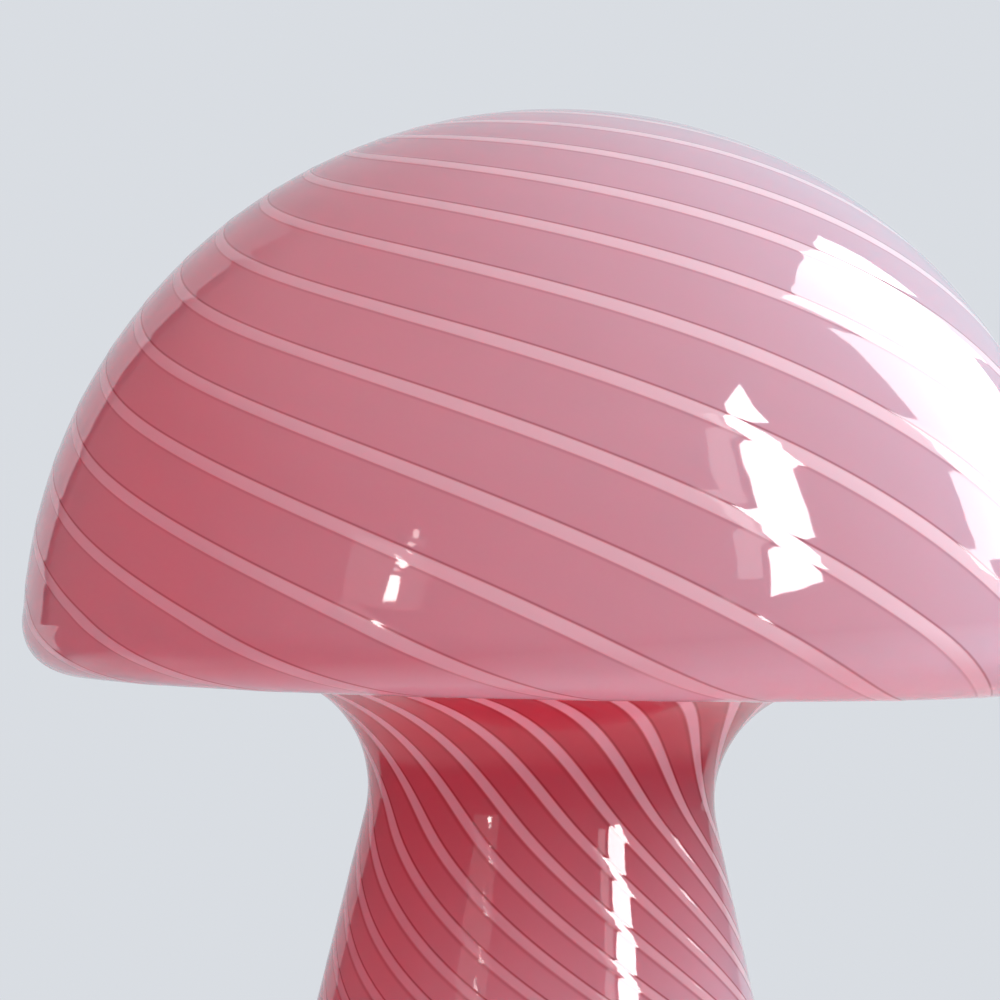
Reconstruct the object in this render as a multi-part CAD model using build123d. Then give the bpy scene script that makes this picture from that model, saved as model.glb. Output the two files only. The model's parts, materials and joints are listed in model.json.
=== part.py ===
"""Mushroom table lamp: a one-piece blown-glass body on a small moulded base with an E14 lampholder.

Millimetres, +Z up. The origin is the middle of the base on the table top. The cord's way in is at +Y.
The glass lifts straight off the base, and the bulb unscrews from the lampholder.
"""

import math
import os

from build123d import *

# ---------------------------------------------------------------- glass body
TOTAL_HEIGHT = 265.0  # table to the top of the cap
CAP_DIAMETER = 220.0
CAP_HEIGHT = 118.3  # top of the cap above the lowest line of its rim
RIM_RADIUS = 11.7  # the rounded edge of the cap
NECK_DIAMETER = 72.0
FLARE_RADIUS = 23.3  # the hollow curve from the flat underside through the neck
FOOT_DIAMETER = 116.5  # widest line of the stem
FOOT_CURVE = 30.0  # the round curve that ends the stem
FOOT_RISE = 9.5  # widest line of the stem above its ground edge
GLASS_WALL = 3.5
GROUND_BEVEL = 0.6  # both corners of the ground edge

# ---------------------------------------------------------------- base
FOOT_RING_THICKNESS = 1.5
FOOT_RING_WIDTH = 9.0
FOOT_RING_INSET = 2.0  # in from the edge of the lid
LID_THICKNESS = 2.0
LID_CLEARANCE = 0.3
HOUSING_WALL = 2.2
HOUSING_INSET = 1.0  # the housing stands this far inside the glass
LEDGE_HEIGHT = 11.0  # table to the ledge that carries the glass
LEDGE_ROUND = 0.6
STEP_HEIGHT = 4.0  # the step that centres the glass
STEP_CLEARANCE = 0.9
STEP_ROUND = 1.2
GASKET_THICKNESS = 1.0
GASKET_CLEARANCE = 0.05
RIB_COUNT = 6
RIB_THICKNESS = 1.6
RIB_DEPTH = 4.0
RIB_START = 10.0  # radius where the ribs begin

SCREW_COUNT = 3
SCREW_CIRCLE = 34.0  # radius of the circle that the lid screws stand on
SCREW_TURN = 30.0  # degrees from +X to the first screw
SCREW_BOSS_RADIUS = 3.6
SCREW_SHANK_RADIUS = 1.45
SCREW_HEAD_RADIUS = 2.7
SCREW_HEAD_HEIGHT = 1.2
SCREW_DEPTH = 7.0  # shank inside its boss
SCREW_PILOT_SPARE = 1.0  # pilot hole beyond the shank
SCREW_PILOT_CLEARANCE = 0.05
SCREW_HOLE_CLEARANCE = 0.15
CROSS_WIDTH = 0.7
CROSS_DEPTH = 0.5

CORD_WIDTH = 5.4  # way in for a flat twin cord
CORD_HEIGHT = 3.4
BUSH_WALL = 0.8
BUSH_FLANGE = 1.0  # reach of the flanges round the notch
BUSH_FLANGE_THICKNESS = 1.0
BUSH_CLEARANCE = 0.05

# ---------------------------------------------------------------- threaded tube and its fasteners
TUBE_RADIUS = 5.0  # M10 x 1
TUBE_BORE = 3.5
TUBE_CLEARANCE = 0.15  # round the tube, in everything that it passes through
TUBE_END = 1.0  # tube below its nut
NUT_ACROSS_FLATS = 14.0
NUT_HEIGHT = 3.0
NUT_CHAMFER = 0.6
LOCK_WASHER_RADIUS = 8.5
LOCK_WASHER_THICKNESS = 0.8
LOCK_WASHER_TEETH = 12
LOCK_WASHER_TOOTH_DEPTH = 1.6
FLAT_WASHER_RADIUS = 10.0
FLAT_WASHER_THICKNESS = 1.0
RISER_RADIUS = 7.0
RISER_WALL = 1.6
RISER_HEIGHT = 45.0

# ---------------------------------------------------------------- lampholder, E14
DOME_RADIUS = 13.5
DOME_BOTTOM_RADIUS = 9.5
DOME_TAPER = 6.0  # height of the tapered bottom
DOME_HEIGHT = 18.0
DOME_WALL = 1.6
BOSS_RADIUS = 7.4  # threaded boss in the dome
BOSS_HEIGHT = 10.0
TUBE_SHORT_OF_BOSS = 1.0  # the tube ends this far below the boss's top
GRUB_RADIUS = 1.5
GRUB_RISE = 8.0  # above the dome's bottom
GRUB_PROUD = 0.3  # beyond the dome's wall
GRUB_CLEARANCE = 0.1
GRUB_SLOT_WIDTH = 0.6
GRUB_SLOT_DEPTH = 0.8
INSERT_RADIUS = 10.6
INSERT_DEPTH = 5.0  # below its flange
INSERT_RISE = 5.0  # above its flange
FLANGE_RADIUS = 13.2
FLANGE_THICKNESS = 2.0
TERMINAL_OFFSET = 6.6  # from the axis to each terminal
TERMINAL_POCKET_WIDTH = 5.0
TERMINAL_POCKET_LENGTH = 6.0
TERMINAL_POCKET_DEPTH = 5.5  # from below
TERMINAL_SCREW_RADIUS = 1.4
TERMINAL_HEAD_RADIUS = 2.2
TERMINAL_HEAD_HEIGHT = 1.4
TERMINAL_CLEARANCE = 0.1
TERMINAL_SLOT_WIDTH = 0.7
TERMINAL_SLOT_DEPTH = 0.6
CONTACT_THICKNESS = 0.5
CONTACT_WIDTH = 4.0
CONTACT_LIFT = 3.6  # crest of the centre contact above the insert
CREST_LENGTH = 3.2
SIDE_CONTACT_WIDTH = 4.0
SIDE_CONTACT_REACH = 2.0  # up beside the bulb's screw cap
SIDE_CONTACT_BEND = 3.0  # height over which it leans in
SLEEVE_RADIUS = 15.2
SLEEVE_TOP_RADIUS = 14.2
SLEEVE_SKIRT = 8.0  # overlap on the dome
SLEEVE_CLEARANCE = 0.1
SLEEVE_HEIGHT = 35.0  # above the insert's flange
ROOM_RADIUS = 10.9  # round the insert's head and the contacts
ROOM_CLEARANCE = 0.6  # above the side contact
ROOM_TAPER = 3.0
MOUTH_RADIUS = 10.6
MOUTH_DEPTH = 7.0
MOUTH_TAPER = 1.8
MOUTH_LIP = 1.0
GRIP_GROOVES = 18
GRIP_GROOVE_RADIUS = 0.9
GRIP_HEIGHT = 10.0

# ---------------------------------------------------------------- bulb, E14 with a 45 mm globe
BULB_LENGTH = 78.0
GLOBE_DIAMETER = 45.0
GLOBE_WALL = 0.7
GLOBE_NECK_RADIUS = 6.2
GLOBE_NECK_CURVE = 12.0
SHELL_RADIUS = 6.95
SHELL_CLEARANCE = 0.25  # round the screw cap, in the sleeve and at the side contact
SHELL_HEIGHT = 19.0
SHELL_WALL = 0.35
SHELL_COLLAR = 2.4  # top of the screw cap that grips the globe's neck
TIP_CLEARANCE = 0.1  # between the tip and the centre contact
TIP_RADIUS = 2.4
TIP_HEIGHT = 1.4
TIP_ROUND = 0.8
INSULATOR_HEIGHT = 5.6
INSULATOR_TIP_RADIUS = 3.2
INSULATOR_PLUG = 1.5  # inside the screw cap
BULB_FIT = 0.05  # between the bulb's own pieces
MOUNT_SKIRT = 4.0
MOUNT_SHOULDER = 4.0
MOUNT_ROD_RADIUS = 1.4
MOUNT_TOP = 13.5  # above the globe's centre
HUB_RADIUS = 3.6
HUB_THICKNESS = 0.5
HUB_DROP = 1.0  # below the mount's top
FILAMENT_COUNT = 4
FILAMENT_RADIUS = 0.9
FILAMENT_BOTTOM = 11.0  # below the globe's centre
FILAMENT_LOW_SPREAD = 8.0
FILAMENT_TOP_SPREAD = 2.7
LEAD_RADIUS = 0.3
LEAD_DROP = 5.0  # from the lead ring to where the leads leave the mount
DRIVER_WIDTH = 9.0
DRIVER_THICKNESS = 1.0
DRIVER_HEIGHT = 9.0

# ---------------------------------------------------------------- heights worked out from the sizes
SEAT_Z = LEDGE_HEIGHT + GASKET_THICKNESS
RIM_Z = TOTAL_HEIGHT - CAP_HEIGHT
LID_Z = FOOT_RING_THICKNESS
CAVITY_Z = LID_Z + LID_THICKNESS
STEP_Z = LEDGE_HEIGHT + STEP_HEIGHT
PLATEAU_Z = STEP_Z - HOUSING_WALL  # underside of the raised middle
WASHER_Z = PLATEAU_Z - LOCK_WASHER_THICKNESS
NUT_Z = WASHER_Z - NUT_HEIGHT
TUBE_Z = NUT_Z - TUBE_END
RISER_Z = STEP_Z + FLAT_WASHER_THICKNESS
DOME_Z = RISER_Z + RISER_HEIGHT
BOSS_Z = DOME_Z + BOSS_HEIGHT
GRUB_Z = DOME_Z + GRUB_RISE
FLANGE_Z = DOME_Z + DOME_HEIGHT
SHOULDER_Z = FLANGE_Z + FLANGE_THICKNESS
INSERT_Z = SHOULDER_Z + INSERT_RISE
TIP_Z = INSERT_Z + CONTACT_LIFT + TIP_CLEARANCE
INSULATOR_Z = TIP_Z + TIP_HEIGHT
SHELL_Z = INSULATOR_Z + INSULATOR_HEIGHT
GLOBE_Z = SHELL_Z + SHELL_HEIGHT - SHELL_COLLAR
GLOBE_CENTRE_Z = TIP_Z + BULB_LENGTH - GLOBE_DIAMETER / 2
HUB_Z = GLOBE_CENTRE_Z + MOUNT_TOP - HUB_DROP


# ---------------------------------------------------------------- plain shapes
UPWARD = (Align.CENTER, Align.CENTER, Align.MIN)


def disc(radius, low, high):
    """A disc round the lamp's axis, between two heights."""
    return Pos(0, 0, low) * Cylinder(radius, high - low, align=UPWARD)


def ring(outer, inner, low, high):
    """A ring round the lamp's axis, between two heights."""
    return disc(outer, low, high) - disc(inner, low, high)


def rod(radius, start, end):
    """A round rod between two points."""
    run = Vector(end) - Vector(start)
    return Plane(start, z_dir=run) * Cylinder(radius, run.length, align=UPWARD)


def outline(*points):
    """Straight edges through (radius, height) points, closed."""
    return Polyline(*points, close=True).edges()


def arc_about(centre, radius, start, end):
    """An arc about a centre, from one angle in degrees to another."""
    return CenterArc(centre, radius, start_angle=start, arc_size=end - start)


def turned(edges):
    """The solid that a closed outline of (radius, height) edges makes round the lamp's axis."""
    return revolve(Plane.XZ * make_face(edges), Axis.Z)


def circles_at(solid, height):
    """The solid's round edges at one height, the widest last."""
    level = [e for e in solid.edges().filter_by(GeomType.CIRCLE) if abs(e.center().Z - height) < 1e-6]
    return sorted(level, key=lambda e: e.radius)


# ---------------------------------------------------------------- glass body


def tangent_angle(across, up, reach):
    """The angle t in degrees, nearest to zero, with across * cos(t) + up * sin(t) = reach."""
    middle = math.degrees(math.atan2(up, across))
    swing = math.degrees(math.acos(reach / math.hypot(across, up)))
    return min(middle + swing, middle - swing, key=abs)


def glass_centres():
    """(radius, height) of the centres of the rim's, the neck's and the foot's curves."""
    rim = (CAP_DIAMETER / 2 - RIM_RADIUS, RIM_Z + RIM_RADIUS)
    flare = (NECK_DIAMETER / 2 + FLARE_RADIUS, RIM_Z - FLARE_RADIUS)
    foot = (FOOT_DIAMETER / 2 - FOOT_CURVE, SEAT_Z + FOOT_RISE)
    return rim, flare, foot


def dome_radius():
    """Radius of the dome that peaks at the lamp's full height and runs into the rim's curve."""
    rim_radius, rim_z = glass_centres()[0]
    rise = TOTAL_HEIGHT - rim_z
    return (rim_radius**2 + rise**2 - RIM_RADIUS**2) / (2 * (rise - RIM_RADIUS))


def glass_outline(inset):
    """The glass's profile from the top of the cap to the ground edge, at an inset from the outer surface.

    Neighbouring curves and straights are tangent, so the surface has no crease.
    """
    rim, flare, foot = glass_centres()
    dome = (0, TOTAL_HEIGHT - dome_radius())
    lift = math.degrees(math.atan2(rim[1] - dome[1], rim[0]))
    lean = tangent_angle(foot[0] - flare[0], foot[1] - flare[1], -FLARE_RADIUS - FOOT_CURVE)
    ground = -math.degrees(math.asin(FOOT_RISE / (FOOT_CURVE - inset)))
    dome_curve = arc_about(dome, dome_radius() - inset, 90, lift)
    rim_curve = arc_about(rim, RIM_RADIUS - inset, lift, -90)
    neck_curve = arc_about(flare, FLARE_RADIUS + inset, 90, 180 + lean)
    foot_curve = arc_about(foot, FOOT_CURVE - inset, lean, ground)
    underside = Line(rim_curve @ 1, neck_curve @ 0)
    side = Line(neck_curve @ 1, foot_curve @ 0)
    return [dome_curve, rim_curve, underside, neck_curve, side, foot_curve]


def ground_radius(inset):
    """Radius of the glass where it ends, at an inset from its outer surface."""
    return FOOT_DIAMETER / 2 - FOOT_CURVE + math.sqrt((FOOT_CURVE - inset) ** 2 - FOOT_RISE**2)


def glass_body():
    outer, inner = glass_outline(0), glass_outline(GLASS_WALL)
    ground = Line(outer[-1] @ 1, inner[-1] @ 1)
    middle = Line((0, TOTAL_HEIGHT), (0, TOTAL_HEIGHT - GLASS_WALL))
    body = turned([*outer, ground, *inner, middle])
    return chamfer(circles_at(body, SEAT_Z), GROUND_BEVEL)


# ---------------------------------------------------------------- base


def housing_radius():
    return ground_radius(0) - HOUSING_INSET


def step_radius():
    return ground_radius(GLASS_WALL) - STEP_CLEARANCE


def lid_radius():
    return housing_radius() - HOUSING_WALL - LID_CLEARANCE


def screw_places():
    return PolarLocations(SCREW_CIRCLE, SCREW_COUNT, start_angle=SCREW_TURN)


def bush_block(width, height, inside, outside):
    """A block through the skirt at the cord's way in, between two distances from the axis."""
    middle = Pos(0, (inside + outside) / 2, CAVITY_Z + BUSH_WALL + CORD_HEIGHT / 2)
    return middle * Box(width, outside - inside, height)


def base_housing():
    """A moulded tray, open below: a skirt, a ledge for the glass and a raised middle that centres it."""
    outer, step, wall = housing_radius(), step_radius(), HOUSING_WALL
    shell = turned(
        outline(
            (0, STEP_Z),
            (step, STEP_Z),
            (step, LEDGE_HEIGHT),
            (outer, LEDGE_HEIGHT),
            (outer, LID_Z),
            (outer - wall, LID_Z),
            (outer - wall, LEDGE_HEIGHT - wall),
            (step - wall, LEDGE_HEIGHT - wall),
            (step - wall, PLATEAU_Z),
            (0, PLATEAU_Z),
        )
    )
    shell = fillet(circles_at(shell, STEP_Z), STEP_ROUND)
    shell = fillet(circles_at(shell, LEDGE_HEIGHT)[-1:], LEDGE_ROUND)
    reach = step - wall - RIB_START
    rib = Pos(RIB_START + reach / 2, 0, PLATEAU_Z - RIB_DEPTH / 2) * Box(reach, RIB_THICKNESS, RIB_DEPTH)
    shell += [Rot(0, 0, SCREW_TURN + turn * 360 / RIB_COUNT) * rib for turn in range(RIB_COUNT)]
    shell += [place * disc(SCREW_BOSS_RADIUS, CAVITY_Z, PLATEAU_Z) for place in screw_places()]
    pilot_end = CAVITY_Z + SCREW_DEPTH + SCREW_PILOT_SPARE
    pilot = disc(SCREW_SHANK_RADIUS + SCREW_PILOT_CLEARANCE, CAVITY_Z, pilot_end)
    shell -= [place * pilot for place in screw_places()]
    shell -= disc(TUBE_RADIUS + TUBE_CLEARANCE, PLATEAU_Z, STEP_Z)
    spare = 2 * (BUSH_WALL + BUSH_CLEARANCE)
    return shell - bush_block(CORD_WIDTH + spare, CORD_HEIGHT + spare, step, outer + wall)


def cord_bush():
    """A soft bush in the skirt: a flange outside, a narrower one inside, and the cord's way in."""
    outer, inner = housing_radius() + BUSH_CLEARANCE, housing_radius() - HOUSING_WALL
    width, height = CORD_WIDTH + 2 * BUSH_WALL, CORD_HEIGHT + 2 * BUSH_WALL
    wide = width + 2 * BUSH_FLANGE
    inner_face = math.sqrt(inner**2 - (wide / 2) ** 2) - BUSH_CLEARANCE
    inside, outside = inner_face - BUSH_FLANGE_THICKNESS, outer + BUSH_FLANGE_THICKNESS
    body = bush_block(width, height, inside, outside)
    body += bush_block(wide, height, inside, inner_face)
    body += bush_block(wide, height + 2 * BUSH_FLANGE, outer, outside)
    return body - bush_block(CORD_WIDTH, CORD_HEIGHT, inside, outside)


def seat_gasket():
    return ring(housing_radius() - LEDGE_ROUND, step_radius() + GASKET_CLEARANCE, LEDGE_HEIGHT, SEAT_Z)


def base_lid():
    head_z = LID_Z + SCREW_HEAD_HEIGHT
    holes = disc(SCREW_HEAD_RADIUS + SCREW_HOLE_CLEARANCE, LID_Z, head_z)
    holes += disc(SCREW_SHANK_RADIUS + SCREW_HOLE_CLEARANCE, head_z, CAVITY_Z)
    return disc(lid_radius(), LID_Z, CAVITY_Z) - [place * holes for place in screw_places()]


def lid_screws():
    screw = disc(SCREW_HEAD_RADIUS, LID_Z, LID_Z + SCREW_HEAD_HEIGHT)
    screw += disc(SCREW_SHANK_RADIUS, LID_Z + SCREW_HEAD_HEIGHT, CAVITY_Z + SCREW_DEPTH)
    bar = Pos(0, 0, LID_Z + CROSS_DEPTH / 2) * Box(1.2 * SCREW_HEAD_RADIUS, CROSS_WIDTH, CROSS_DEPTH)
    screw -= [bar, Rot(0, 0, 90) * bar]
    return Compound([place * screw for place in screw_places()])


def foot_ring():
    outer = lid_radius() - FOOT_RING_INSET
    return ring(outer, outer - FOOT_RING_WIDTH, 0, FOOT_RING_THICKNESS)


# ---------------------------------------------------------------- threaded tube and its fasteners


def threaded_tube():
    return ring(TUBE_RADIUS, TUBE_BORE, TUBE_Z, BOSS_Z - TUBE_SHORT_OF_BOSS)


def tube_nut():
    """A hexagon nut with its lower corners turned off."""
    flats = NUT_ACROSS_FLATS / 2
    corners = flats / math.cos(math.radians(30))
    blank = Pos(0, 0, NUT_Z) * extrude(RegularPolygon(flats, 6, major_radius=False), NUT_HEIGHT)
    turning = turned(
        outline(
            (0, NUT_Z),
            (corners - NUT_CHAMFER, NUT_Z),
            (corners, NUT_Z + NUT_CHAMFER),
            (corners, WASHER_Z),
            (0, WASHER_Z),
        )
    )
    return (blank & turning) - disc(TUBE_RADIUS + TUBE_CLEARANCE, NUT_Z, WASHER_Z)


def lock_washer():
    """A washer with teeth round its edge, under the raised middle of the housing."""
    washer = ring(LOCK_WASHER_RADIUS, TUBE_RADIUS + TUBE_CLEARANCE, WASHER_Z, PLATEAU_Z)
    width = math.pi * LOCK_WASHER_RADIUS / LOCK_WASHER_TEETH
    gap = Pos(LOCK_WASHER_RADIUS, 0, (WASHER_Z + PLATEAU_Z) / 2) * Box(
        2 * LOCK_WASHER_TOOTH_DEPTH, width, LOCK_WASHER_THICKNESS
    )
    return washer - [Rot(0, 0, turn * 360 / LOCK_WASHER_TEETH) * gap for turn in range(LOCK_WASHER_TEETH)]


def flat_washer():
    return ring(FLAT_WASHER_RADIUS, TUBE_RADIUS + TUBE_CLEARANCE, STEP_Z, RISER_Z)


def riser_tube():
    return ring(RISER_RADIUS, RISER_RADIUS - RISER_WALL, RISER_Z, DOME_Z)


# ---------------------------------------------------------------- lampholder


def holder_dome():
    """The lower shell of the lampholder, with a boss for the tube and a web for the grub screw."""
    wall = DOME_WALL
    shell = turned(
        outline(
            (0, DOME_Z),
            (DOME_BOTTOM_RADIUS, DOME_Z),
            (DOME_RADIUS, DOME_Z + DOME_TAPER),
            (DOME_RADIUS, FLANGE_Z),
            (DOME_RADIUS - wall, FLANGE_Z),
            (DOME_RADIUS - wall, DOME_Z + DOME_TAPER),
            (DOME_BOTTOM_RADIUS - wall, DOME_Z + wall),
            (0, DOME_Z + wall),
        )
    )
    shell += disc(BOSS_RADIUS, DOME_Z, BOSS_Z)
    start, end = BOSS_RADIUS - wall, DOME_RADIUS - wall / 2
    low = DOME_Z + DOME_TAPER
    web = Box(end - start, 2 * (GRUB_RADIUS + wall), BOSS_Z - low)
    web = Pos((start + end) / 2, 0, (low + BOSS_Z) / 2) * web
    shell += [web, Rot(0, 0, 180) * web]
    shell -= disc(TUBE_RADIUS + TUBE_CLEARANCE, DOME_Z, BOSS_Z)
    return shell - rod(GRUB_RADIUS + GRUB_CLEARANCE, (0, 0, GRUB_Z), (DOME_RADIUS, 0, GRUB_Z))


def grub_screw():
    """The slotted screw that locks the lampholder on its tube."""
    start, end = TUBE_RADIUS + GRUB_CLEARANCE, DOME_RADIUS + GRUB_PROUD
    slot = Box(GRUB_SLOT_DEPTH, 2 * GRUB_RADIUS, GRUB_SLOT_WIDTH)
    screw = rod(GRUB_RADIUS, (start, 0, GRUB_Z), (end, 0, GRUB_Z))
    return screw - Pos(end - GRUB_SLOT_DEPTH / 2, 0, GRUB_Z) * slot


def contact_insert():
    """The ceramic insert: its flange lies on the dome's edge, and each terminal has a wire pocket."""
    low = FLANGE_Z - INSERT_DEPTH
    body = disc(INSERT_RADIUS, low, INSERT_Z) + disc(FLANGE_RADIUS, FLANGE_Z, SHOULDER_Z)
    pocket = Pos(0, 0, low + TERMINAL_POCKET_DEPTH / 2) * Box(
        TERMINAL_POCKET_WIDTH, TERMINAL_POCKET_LENGTH, TERMINAL_POCKET_DEPTH
    )
    pocket += disc(TERMINAL_SCREW_RADIUS + TERMINAL_CLEARANCE, low, INSERT_Z)
    return body - [Pos(side * TERMINAL_OFFSET, 0, 0) * pocket for side in (-1, 1)]


def terminal_screws():
    head_z = INSERT_Z + CONTACT_THICKNESS
    top = head_z + TERMINAL_HEAD_HEIGHT
    screw = disc(TERMINAL_HEAD_RADIUS, head_z, top)
    screw += disc(TERMINAL_SCREW_RADIUS, FLANGE_Z - INSERT_DEPTH + TERMINAL_POCKET_DEPTH / 2, head_z)
    screw -= Pos(0, 0, top - TERMINAL_SLOT_DEPTH / 2) * Box(
        2 * TERMINAL_HEAD_RADIUS, TERMINAL_SLOT_WIDTH, TERMINAL_SLOT_DEPTH
    )
    return Compound([Pos(side * TERMINAL_OFFSET, 0, 0) * screw for side in (-1, 1)])


def strip(width, *points):
    """A bent metal strip whose middle line runs through (x, z) points."""
    side_view = trace(Polyline(*points), CONTACT_THICKNESS)
    return extrude(Plane.XZ * side_view, width / 2, both=True)


def contact_hole(side):
    """The hole for a terminal screw in its contact."""
    hole = disc(TERMINAL_SCREW_RADIUS + TERMINAL_CLEARANCE, INSERT_Z, INSERT_Z + CONTACT_THICKNESS)
    return Pos(side * TERMINAL_OFFSET, 0, 0) * hole


def centre_contact():
    """A tongue from one terminal to a crest under the bulb's tip."""
    low = INSERT_Z + CONTACT_THICKNESS / 2
    crest = INSERT_Z + CONTACT_LIFT - CONTACT_THICKNESS / 2
    tab = TERMINAL_OFFSET + TERMINAL_HEAD_RADIUS
    bend = TERMINAL_OFFSET - TERMINAL_HEAD_RADIUS - CONTACT_THICKNESS
    half = CREST_LENGTH / 2
    return strip(CONTACT_WIDTH, (-tab, low), (-bend, low), (-half, crest), (half, crest)) - contact_hole(-1)


def side_contact():
    """A tab from the other terminal that stands up beside the bulb's screw cap."""
    low = INSERT_Z + CONTACT_THICKNESS / 2
    outer = TERMINAL_OFFSET + TERMINAL_HEAD_RADIUS + CONTACT_THICKNESS
    stand = SHELL_RADIUS + SHELL_CLEARANCE + CONTACT_THICKNESS / 2
    body = strip(
        SIDE_CONTACT_WIDTH,
        (TERMINAL_OFFSET - TERMINAL_HEAD_RADIUS, low),
        (outer, low),
        (outer, SHELL_Z - SIDE_CONTACT_BEND),
        (stand, SHELL_Z),
        (stand, SHELL_Z + SIDE_CONTACT_REACH),
    )
    return body - contact_hole(1)


def holder_sleeve():
    """The outer sleeve: it screws over the dome, holds the insert down and guides the bulb's screw cap."""
    low, top = FLANGE_Z - SLEEVE_SKIRT, SHOULDER_Z + SLEEVE_HEIGHT
    room_z = SHELL_Z + SIDE_CONTACT_REACH + ROOM_CLEARANCE
    bore = SHELL_RADIUS + SHELL_CLEARANCE
    skirt = DOME_RADIUS + SLEEVE_CLEARANCE
    body = turned(
        outline(
            (skirt, low),
            (SLEEVE_RADIUS, low),
            (SLEEVE_RADIUS, SHOULDER_Z),
            (SLEEVE_TOP_RADIUS, top - MOUTH_LIP),
            (SLEEVE_TOP_RADIUS - MOUTH_LIP, top),
            (MOUTH_RADIUS, top),
            (MOUTH_RADIUS, top - MOUTH_DEPTH),
            (bore, top - MOUTH_DEPTH - MOUTH_TAPER),
            (bore, room_z + ROOM_TAPER),
            (ROOM_RADIUS, room_z),
            (ROOM_RADIUS, SHOULDER_Z),
            (skirt, SHOULDER_Z),
        )
    )
    groove = disc(GRIP_GROOVE_RADIUS, low, low + GRIP_HEIGHT)
    reach = SLEEVE_RADIUS + GRIP_GROOVE_RADIUS / 2
    return body - [place * groove for place in PolarLocations(reach, GRIP_GROOVES)]


# ---------------------------------------------------------------- bulb


def globe_outline(inset):
    """The globe's profile from its top to the end of its neck, at an inset from the outer surface."""
    radius, curve, neck = GLOBE_DIAMETER / 2 - inset, GLOBE_NECK_CURVE + inset, GLOBE_NECK_RADIUS - inset
    drop = math.sqrt((radius + curve) ** 2 - (neck + curve) ** 2)
    fall = math.degrees(math.atan2(-drop, neck + curve))
    globe = arc_about((0, GLOBE_CENTRE_Z), radius, 90, fall)
    neck_curve = arc_about((neck + curve, GLOBE_CENTRE_Z - drop), curve, 180 + fall, 180)
    return [globe, neck_curve, Line(neck_curve @ 1, (neck, GLOBE_Z))]


def bulb_globe():
    outer, inner = globe_outline(0), globe_outline(GLOBE_WALL)
    end = Line(outer[-1] @ 1, inner[-1] @ 1)
    return turned([*outer, end, *inner, Line(outer[0] @ 0, inner[0] @ 0)])


def bulb_cap():
    """The metal screw cap: a thin shell, drawn in round the globe's neck and round the insulator."""
    top = SHELL_Z + SHELL_HEIGHT
    inner = SHELL_RADIUS - SHELL_WALL
    shell = ring(SHELL_RADIUS, inner, SHELL_Z, top)
    return shell + ring(inner + SHELL_WALL / 2, GLOBE_NECK_RADIUS + BULB_FIT, GLOBE_Z, top)


def bulb_insulator():
    inner = SHELL_RADIUS - SHELL_WALL - BULB_FIT
    return turned(
        outline(
            (0, INSULATOR_Z),
            (INSULATOR_TIP_RADIUS, INSULATOR_Z),
            (inner, SHELL_Z),
            (inner, SHELL_Z + INSULATOR_PLUG),
            (0, SHELL_Z + INSULATOR_PLUG),
        )
    )


def bulb_tip():
    tip = disc(TIP_RADIUS, TIP_Z, INSULATOR_Z)
    return fillet(circles_at(tip, TIP_Z), TIP_ROUND)


def bulb_mount():
    """The glass mount that closes the globe's neck and carries the filaments on its rod."""
    skirt = GLOBE_NECK_RADIUS - GLOBE_WALL - BULB_FIT
    return turned(
        outline(
            (0, GLOBE_Z),
            (skirt, GLOBE_Z),
            (skirt, GLOBE_Z + MOUNT_SKIRT),
            (MOUNT_ROD_RADIUS, GLOBE_Z + MOUNT_SKIRT + MOUNT_SHOULDER),
            (MOUNT_ROD_RADIUS, GLOBE_CENTRE_Z + MOUNT_TOP),
            (0, GLOBE_CENTRE_Z + MOUNT_TOP),
        )
    )


def led_filaments():
    """Rods from a wide ring below to the hub at the top of the mount."""
    low, high = GLOBE_CENTRE_Z - FILAMENT_BOTTOM, HUB_Z
    filament = rod(FILAMENT_RADIUS, (FILAMENT_LOW_SPREAD, 0, low), (FILAMENT_TOP_SPREAD, 0, high))
    filament &= disc(FILAMENT_LOW_SPREAD + 2 * FILAMENT_RADIUS, low - FILAMENT_RADIUS, high)
    return Compound([Rot(0, 0, turn * 360 / FILAMENT_COUNT) * filament for turn in range(FILAMENT_COUNT)])


def filament_leads():
    """The hub on the mount's rod, and the ring and leads that feed the filaments' lower ends."""
    hub = ring(HUB_RADIUS, MOUNT_ROD_RADIUS, HUB_Z, HUB_Z + HUB_THICKNESS)
    spread, ring_z = FILAMENT_LOW_SPREAD, GLOBE_CENTRE_Z - FILAMENT_BOTTOM
    feed = ring(spread + LEAD_RADIUS, spread - LEAD_RADIUS, ring_z - LEAD_RADIUS, ring_z + LEAD_RADIUS)
    lead = rod(LEAD_RADIUS, (0, 0, ring_z - LEAD_DROP), (spread, 0, ring_z))
    first = 180 / FILAMENT_COUNT  # midway between two filaments
    feed += [Rot(0, 0, first + turn) * lead for turn in (0, 180)]
    feed -= [bulb_mount(), *led_filaments().solids()]
    return Compound([hub, *feed.solids()])


def driver_board():
    low = SHELL_Z + INSULATOR_PLUG
    return Pos(0, 0, low + DRIVER_HEIGHT / 2) * Box(DRIVER_WIDTH, DRIVER_THICKNESS, DRIVER_HEIGHT)


SUBPARTS = [
    glass_body,
    base_housing,
    cord_bush,
    seat_gasket,
    base_lid,
    lid_screws,
    foot_ring,
    threaded_tube,
    tube_nut,
    lock_washer,
    flat_washer,
    riser_tube,
    holder_dome,
    grub_screw,
    contact_insert,
    terminal_screws,
    centre_contact,
    side_contact,
    holder_sleeve,
    bulb_globe,
    bulb_cap,
    bulb_insulator,
    bulb_tip,
    bulb_mount,
    led_filaments,
    filament_leads,
    driver_board,
]

os.makedirs("parts", exist_ok=True)
for subpart in SUBPARTS:
    export_step(subpart(), f"parts/{subpart.__name__}.step")
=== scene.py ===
import json
import math

import bpy
import numpy as np
from mathutils import Matrix, Vector


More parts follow.
